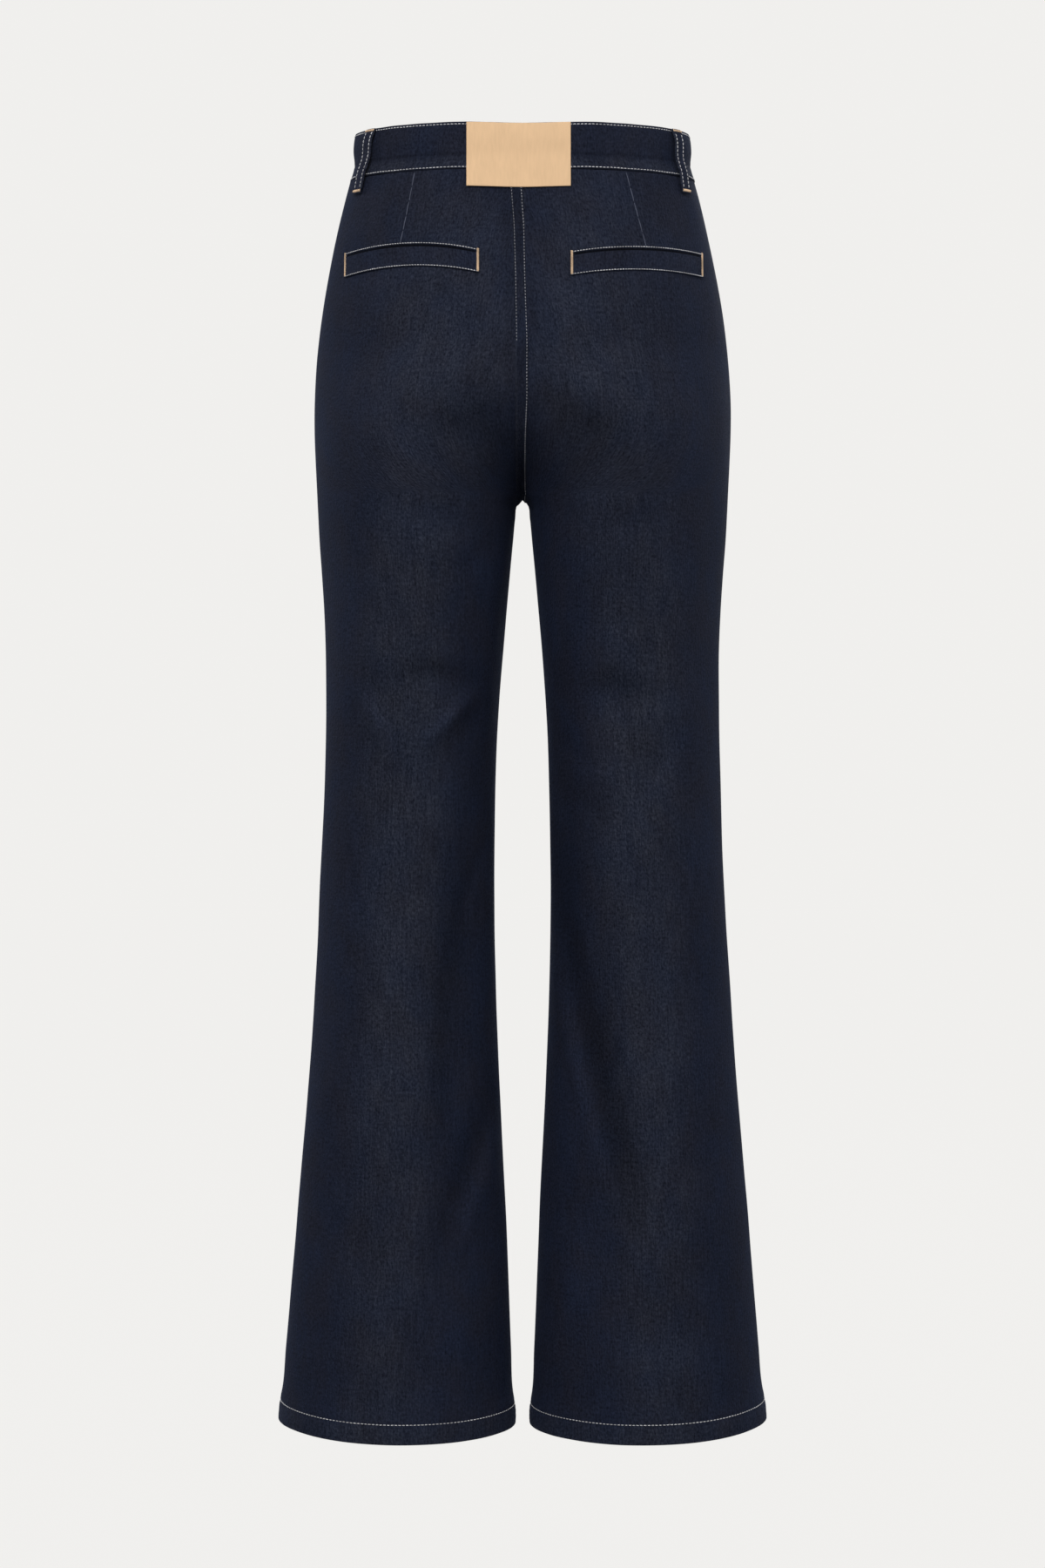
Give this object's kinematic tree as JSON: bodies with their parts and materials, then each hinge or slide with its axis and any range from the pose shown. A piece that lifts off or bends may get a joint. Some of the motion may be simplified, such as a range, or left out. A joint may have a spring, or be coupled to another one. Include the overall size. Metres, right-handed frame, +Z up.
{
  "type": "bootcut jeans",
  "caption": "High-rise bootcut jeans in dark denim, filled out as worn, with a lapped waistband, belt loops, back pocket welts, a fly and flared hems.",
  "frame": {"origin": "middle of the waist opening, level with the waistband's top edge at the sides, where the wearer holds the jeans up", "axes": "+Z up along the legs, +Y towards the wearer's front, +X towards the wearer's right side"},
  "size_m": [0.4082, 0.2458, 1.0718],
  "materials": {
    "denim": "dark rinsed indigo twill, matt",
    "label": "bare natural tan, matt",
    "button": "copper-toned, satin",
    "thread": "topstitching thread, tan to orange"
  },
  "bodies": {
    "root": {"back_left": "denim", "back_right": "denim", "front_left": "denim", "front_right": "denim", "pocket_facing_left": "denim", "pocket_facing_right": "denim", "waistband_left": "denim", "waistband_right": "denim", "belt_loop_back_left": "denim", "belt_loop_back_right": "denim", "belt_loop_front_left": "denim", "belt_loop_front_right": "denim", "pocket_welt_left": "denim", "pocket_welt_right": "denim", "fly": "denim", "back_label": "label", "waist_button": "button"}
  },
  "joints": []
}
